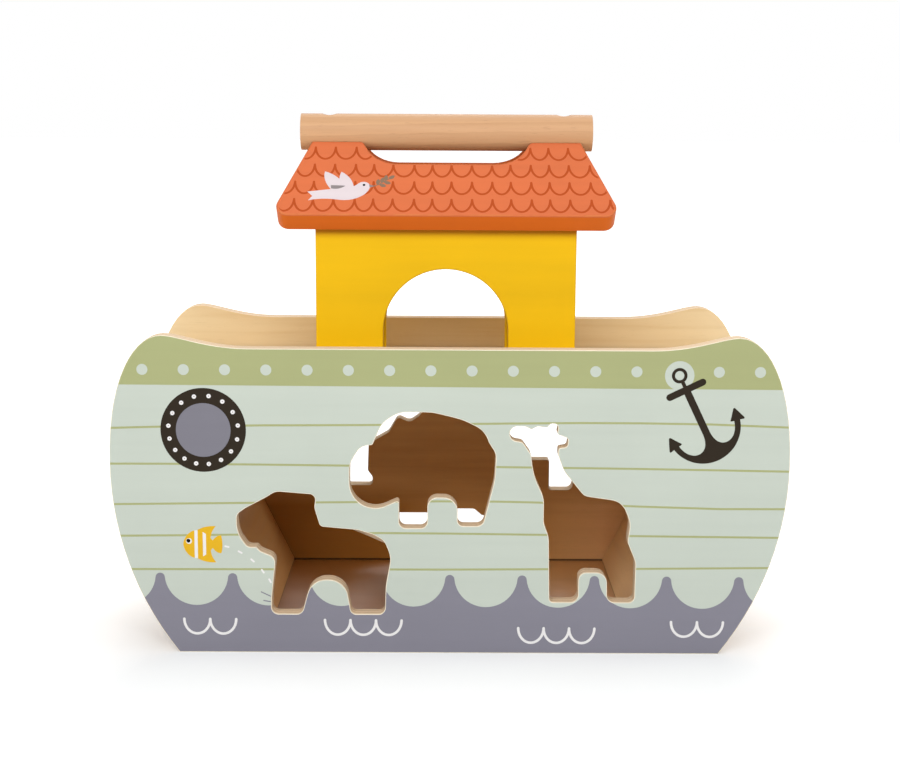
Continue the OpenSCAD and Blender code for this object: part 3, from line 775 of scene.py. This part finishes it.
def waves():
    """Round troughs between narrow rounded crests, down to the hull's foot."""
    centre = WAVE_LOW + WAVE_R
    crest = math.hypot(WAVE_PITCH / 2, WAVE_TIP_DROP) - WAVE_R
    reach = math.degrees(math.atan2(WAVE_TIP_DROP, WAVE_PITCH / 2))
    top = []
    for i in range(WAVE_COUNT):
        x = WAVE_FIRST + WAVE_PITCH * i
        top += arc(x, centre - WAVE_TIP_DROP, crest, crest, 180 - reach, reach, 12)
        top += arc(x + WAVE_PITCH / 2, centre, WAVE_R, WAVE_R, 180 + reach, 360 - reach, 24)[1:-1]
    return [("slate", top + [(top[-1][0], -PRINT_SPARE), (top[0][0], -PRINT_SPARE)])]


def foam():
    """Rows of white scallops on the water."""
    regions = []
    for (x, z), pitch, count in FOAM:
        for i in range(count):
            bow = arc(x + pitch * i, z, pitch / 2, FOAM_DEPTH, 180, 360, 24)
            regions.append(("white", stroke(bow, FOAM_LINE)))
    return regions


def porthole():
    """A dark ring with rivets, a little unevenly spaced, round a pane."""
    regions = [("soot", disc(*PORTHOLE, PORTHOLE_R, 72)), ("glass", disc(*PORTHOLE, GLASS_R, 60))]
    for i in range(RIVETS):
        even = 360 * (i + 0.5) / RIVETS
        angle = math.radians(even - RIVET_DRIFT * math.cos(math.radians(even + RIVET_TURN)))
        x = PORTHOLE[0] + RIVET_RING * math.cos(angle)
        z = PORTHOLE[1] + RIVET_RING * math.sin(angle)
        regions += [("white", disc(x, z, RIVET_R, 16)), ("feather", disc(x, z, RIVET_MARK, 8))]
    return regions


def anchor():
    """A ring, a stock, a shank and two barbed arms."""
    half = curve((1.85, 0), (1.85, -12), (1.85, -22), (1.85, -25), 3)
    half += curve((1.85, -25), (2.2, -30.6), (5.2, -33.6), (9.4, -32.4))
    half += curve((9.4, -32.4), (12.4, -31.3), (14.4, -28.2), (15.0, -24.6))
    half += curve((15.0, -24.6), (14.3, -24.5), (13.6, -24.5), (13.2, -24.0), 3)
    half += curve((13.2, -24.0), (14.8, -22.0), (16.2, -20.0), (17.0, -18.9), 3)
    half += curve((17.0, -18.9), (17.3, -18.5), (18.0, -18.5), (18.1, -19.0), 3)
    half += curve((18.1, -19.0), (19.0, -21.2), (19.8, -23.2), (20.4, -24.9), 3)
    half += curve((20.4, -24.9), (20.5, -25.5), (20.2, -25.8), (19.8, -25.7), 3)
    half += [(17.9, -25.2)]
    half += arc(0, -21, 18.5, 18.5, -14, -90, 18)
    body = half + [(-x, z) for x, z in reversed(half[:-1])]
    regions = [("mint", disc(0, 7.9, ANCHOR_HALO))]
    regions += [("soot", disc(0, 7.9, 3.9)), ("mint", disc(0, 7.9, 2.3, 28))]
    regions += [("soot", stroke([(0, 4.6), (0, -1.0)], 1.9))]
    regions += [("soot", stroke([(-9.0, 0), (9.0, 0)], 3.5)), ("soot", body)]
    return [(name, turned(outline, ANCHOR_TILT, ANCHOR)) for name, outline in regions]


def fish():
    """A plain striped fish with its trail."""

    def slice_of(start, end, steps):
        shares = [start + (end - start) * i / steps for i in range(steps + 1)]
        top = []
        for t in shares:
            y = FISH_HEIGHT * math.sin(math.pi * t ** 0.8) ** 0.75
            top.append((FISH_NOSE + FISH_LENGTH * t, y))
        return top[::-1] + [(x, -y) for x, y in top if y > 0.001]

    fin = curve((-5.0, 5.0), (-2.0, 8.6), (2.4, 9.6), (7.0, 9.4))
    fin += curve((7.0, 9.4), (5.4, 7.6), (4.4, 5.6), (4.2, 2.4))
    fin += [(4.2, 2.4), (-2.0, 2.4)]
    tail = curve((4.6, 1.0), (6.4, 3.8), (8.0, 4.8), (9.6, 4.6))
    tail += curve((9.6, 4.6), (10.4, 1.8), (10.4, -1.8), (9.6, -4.6))
    tail += curve((9.6, -4.6), (8.0, -4.8), (6.4, -3.8), (4.6, -1.0))
    tail += [(4.6, -1.0)]
    regions = [("sun", fin), ("sun", [(x, -y) for x, y in fin]), ("sun", tail)]
    regions += [("sun", slice_of(0.0, 1.0, 36))]
    regions += [("white", slice_of(t, t + FISH_STRIPE, 6)) for t in FISH_STRIPES]
    regions += [("white", disc(-6.6, 1.6, 1.5, 20)), ("pupil", disc(-6.9, 1.8, 1.0, 18))]
    regions = [(name, turned(outline, 0, FISH)) for name, outline in regions]
    dash = stroke([(-TRAIL_HALF, 0), (TRAIL_HALF, 0)], TRAIL_LINE)
    regions += [("white", turned(dash, angle, (x, z))) for x, z, angle in TRAIL]
    return regions + [("slate", stroke(list(line), SPLASH_LINE)) for line in SPLASH]


def hull_print(outline):
    """The regions of a hull side's print: rail band, planks, waves and the pictures on them."""
    reach = max(x for x, _ in outline) + PRINT_SPARE
    top = max(z for _, z in outline) + PRINT_SPARE
    band = turned([(-reach, BAND_LOW), (reach, BAND_LOW)], PRINT_TILT, (0, 0))
    regions = [("olive", band + [(reach, top), (-reach, top)])]
    for i in range(DOT_COUNT):
        if i != DOT_BEHIND_ANCHOR:
            x = DOT_FIRST[0] + DOT_PITCH * i
            regions.append(("mint", disc(x, DOT_FIRST[1], DOT_R, 28)))
    water = [(name, turned(region, PRINT_TILT, (0, 0))) for name, region in waves() + foam()]
    return regions + planks() + water + porthole() + anchor() + fish()


HULL_FINISH = [RIM_WOOD, PLY_EDGE, PLY_INNER]
for side, right in (("front", X), ("back", -X)):
    printed_board(side + "_side", side + "_side_panel", "hull", right, Z, HULL_RIM,
                  hull_print, "mint", HULL_FINISH)


# The printed roof

TILE_CUSPS = (-97.5, -87.3, -77.5, -67.9, -57.5, -46.7, -37.3, -27.4, -16.5, -7.2, 2.6,
              13.1, 23.5, 33.0, 43.5, 52.9, 63.1, 74.0, 83.5, 93.5)
TILE_ROWS = (2.3, 13.4, 24.5, 35.8)
TILE_DEPTH = 8.0
TILE_LINE = 1.15
BIRD = (-52.0, 12.0)
LEAVES = ((16.6, 7.1, 80), (18.6, 8.2, 75), (20.6, 9.7, 80), (17.6, 7.4, -20), (19.8, 9.0, -15),
          (22.3, 10.9, 35))
ROOF_RIM = 1.2
ROOF_PITCH = math.radians(50)


def tiles(middle, eave):
    """Rows of pointed scallops, all in line up the slope."""
    regions = []
    for low in TILE_ROWS:
        for left, right in zip(TILE_CUSPS, TILE_CUSPS[1:]):
            x = middle + (left + right) / 2
            bow = arc(x, eave + low + TILE_DEPTH, (right - left) / 2, TILE_DEPTH, 183, 357, 18)
            regions.append(("tile", stroke(bow, TILE_LINE)))
    return regions


def bird(place):
    """A plain bird in flight with a sprig."""
    body = curve((-19, 2.6), (-12, 3.4), (-8, 4.4), (-2, 4.6))
    body += curve((-2, 4.6), (3, 4.8), (5, 6.0), (7, 8.0))
    body += curve((7, 8.0), (9.2, 9.8), (12.4, 9.0), (12.8, 6.4))
    body += curve((12.8, 6.4), (13.0, 1.0), (5, -3.6), (-2, -2.6))
    body += curve((-2, -2.6), (-8, -1.8), (-12, -1.4), (-18.4, -3.0))
    body += [(-18.4, -3.0), (-16.4, -0.2)]
    near_wing = curve((3.0, 4.0), (-1.0, 9.0), (-5.0, 14.0), (-10.5, 15.6))
    near_wing += curve((-10.5, 15.6), (-11.6, 11.0), (-9.0, 6.0), (-6.0, 3.0))
    near_wing += [(-6.0, 3.0), (0, 1.6)]
    far_wing = curve((4.6, 5.6), (4.0, 9.6), (2.0, 13.0), (-2.0, 15.4))
    far_wing += curve((-2.0, 15.4), (-3.6, 12.0), (-3.0, 8.0), (-1.0, 4.4))
    far_wing += [(-1.0, 4.4)]
    band = curve((-7.0, 4.6), (-4.0, 4.0), (-2.0, 4.6), (0.4, 6.4))
    band += curve((0.4, 6.4), (-2.6, 6.8), (-5.4, 6.6), (-8.0, 6.8))
    beak = [(12.4, 7.4), (15.4, 6.2), (12.7, 5.4)]
    regions = [("blossom", far_wing), ("blossom", body), ("blossom", near_wing), ("feather", band)]
    regions += [("feather", beak), ("pupil", disc(9.8, 7.0, 0.7, 16))]
    regions.append(("leaf", stroke([(14.6, 6.2), (17.5, 7.4), (22.5, 11.0)], 0.5)))
    lens = arc(1.9, -1.2, 2.25, 2.25, 145, 35, 8) + arc(1.9, 1.2, 2.25, 2.25, -35, -145, 8)
    for x, y, angle in LEAVES:
        regions.append(("leaf", turned(lens, angle, (x, y))))
    return [(name, turned(outline, 0, place)) for name, outline in regions]


def roof_print(outline):
    """The regions of a roof panel's print, placed from its middle and its eave."""
    middle = sum(f(x for x, _ in outline) for f in (min, max)) / 2
    eave = min(u for _, u in outline)
    return tiles(middle, eave) + bird((middle + BIRD[0], eave + BIRD[1]))


ROOF_FINISH = [PAINTS["orange"], ROOF_EDGE_PAINT, ROOF_EDGE_PAINT]
for side, run in (("front", 1), ("back", -1)):
    slope = Y * run * math.cos(ROOF_PITCH) + Z * math.sin(ROOF_PITCH)
    printed_board(side + "_roof", side + "_roof_panel", "lid", X * run, slope,
                  ROOF_RIM, roof_print, "orange", ROOF_FINISH, mitre=Y * run)


# The plain boards, the handle and the fasteners

HOLD_SEAM = 1.1
HANDLE_SOFT = 1.0
HANDLE_SHORTEST = 1.2
FLOOR_FINISH = [PLY_LONG, PLY_EDGE, SHADED_HOLD_LONG]
END_FINISH = [PLY_CROSS, PLY_EDGE, SHADED_HOLD_CROSS]
CLEAT_FINISH = [PLY_CROSS, PLY_CROSS]
DECK_FINISH = [PLY_LONG, PLY_EDGE]
GABLE_FINISH = [GABLE_PAINT, GABLE_PAINT]
WALL_FINISH = [WALL_PAINT, WALL_PAINT]
HANDLE_FINISH = [BEECH, BEECH]
soft_board("floor", "floor_board", "hull", FLOOR_FINISH, width=HOLD_SEAM)
for side in ("left", "right"):
    soft_board(side + "_end", side + "_end_board", "hull", END_FINISH, width=HOLD_SEAM)
    soft_board(side + "_cleat", side + "_deck_cleat", "lid", CLEAT_FINISH)
    soft_board(side + "_house_end", side + "_gable", "lid", GABLE_FINISH)
soft_board("deck", "deck_board", "lid", DECK_FINISH)
for side in ("front", "back"):
    soft_board(side + "_house_wall", "house_" + side + "_wall", "lid", WALL_FINISH)
soft_board("carry_handle", "handle_dowel", "lid", HANDLE_FINISH, width=HANDLE_SOFT,
           shortest=HANDLE_SHORTEST)
for side in ("front", "back"):
    for joined in ("hull", "wall", "roof"):
        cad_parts[f"{side}_{joined}_pins"].material_slots[0].material = PIN_BEECH
for joined in ("cleat", "deck", "handle"):
    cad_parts[joined + "_screws"].material_slots[0].material = SCREW_STEEL


# Floor, lights and camera

FLOOR_REACH = 20.0
SOFTBOXES = {
    "front_softbox": {
        "place": (-0.2, -2.0, 1.45), "aim": (0, 0, 0.12), "size": (2.4, 1.0), "power": 46},
    "top_softbox": {
        "place": (0.12, 0.1, 2.0), "aim": (0, 0, 0), "size": (1.8, 1.8), "power": 16},
    "back_softbox": {
        "place": (0.3, 1.6, 1.7), "aim": (0, 0, 0.12), "size": (1.8, 1.2), "power": 17},
}

# The surround's light from straight down to straight up: a share of the way, and the level there
SKY = ((0.0, 1.0), (0.55, 1.0), (0.58, 0.08), (0.72, 0.23), (0.85, 0.40), (1.0, 0.45))


def backdrop():
    """A wide plain floor that runs out to a white surround."""
    bm = bmesh.new()
    corners = ((-1, -1), (1, -1), (1, 1), (-1, 1))
    bm.faces.new([bm.verts.new((x * FLOOR_REACH, y * FLOOR_REACH, 0)) for x, y in corners])
    mesh = bpy.data.meshes.new("studio_floor")
    bm.to_mesh(mesh)
    bm.free()
    mesh.materials.append(floor_finish("studio_white"))
    floor = bpy.data.objects.new("studio_floor", mesh)
    bpy.context.scene.collection.objects.link(floor)


def softbox(name, place, aim, size, power):
    """A broad lamp that looks at a point."""
    light = bpy.data.lights.new(name, "AREA")
    light.shape = "RECTANGLE"
    light.size, light.size_y = size
    light.energy = power
    lamp = bpy.data.objects.new(name, light)
    lamp.location = place
    lamp.rotation_euler = (Vector(aim) - Vector(place)).to_track_quat("-Z", "Y").to_euler()
    bpy.context.scene.collection.objects.link(lamp)


backdrop()
for lamp_name, lamp_look in SOFTBOXES.items():
    softbox(lamp_name, **lamp_look)

world = bpy.data.worlds.new("studio")
world.use_nodes = True
sky = world.node_tree.nodes
direction = sky.new("ShaderNodeTexCoord")
height = sky.new("ShaderNodeSeparateXYZ")
share = sky.new("ShaderNodeMapRange")
share.inputs[1].default_value = -1.0
glow = sky.new("ShaderNodeValToRGB")
while len(glow.color_ramp.elements) < len(SKY):
    glow.color_ramp.elements.new(1.0)
for element, (position, level) in zip(glow.color_ramp.elements, SKY):
    element.position = position
    element.color = (level, level, level, 1)
for source, target in (
    (direction.outputs["Generated"], height.inputs[0]), (height.outputs[2], share.inputs[0]),
    (share.outputs[0], glow.inputs[0]), (glow.outputs[0], sky["Background"].inputs["Color"]),
):
    world.node_tree.links.new(source, target)
bpy.context.scene.world = world
bpy.context.scene.view_settings.view_transform = "Standard"

camera_data = bpy.data.cameras.new("camera")
camera_data.lens = CAMERA_LENS
camera_data.sensor_width = CAMERA_SENSOR
camera_data.sensor_fit = "HORIZONTAL"
camera_data.clip_start = CAMERA_NEAR
camera = bpy.data.objects.new("camera", camera_data)
camera.matrix_world = (
    Matrix.Translation(CAMERA_PLACE)
    @ Matrix.Rotation(math.radians(CAMERA_TURN), 4, "Z")
    @ Matrix.Rotation(math.radians(90 - CAMERA_DOWN), 4, "X")
    @ Matrix.Rotation(math.radians(CAMERA_ROLL), 4, "Z"))
bpy.context.scene.collection.objects.link(camera)
bpy.context.scene.camera = camera
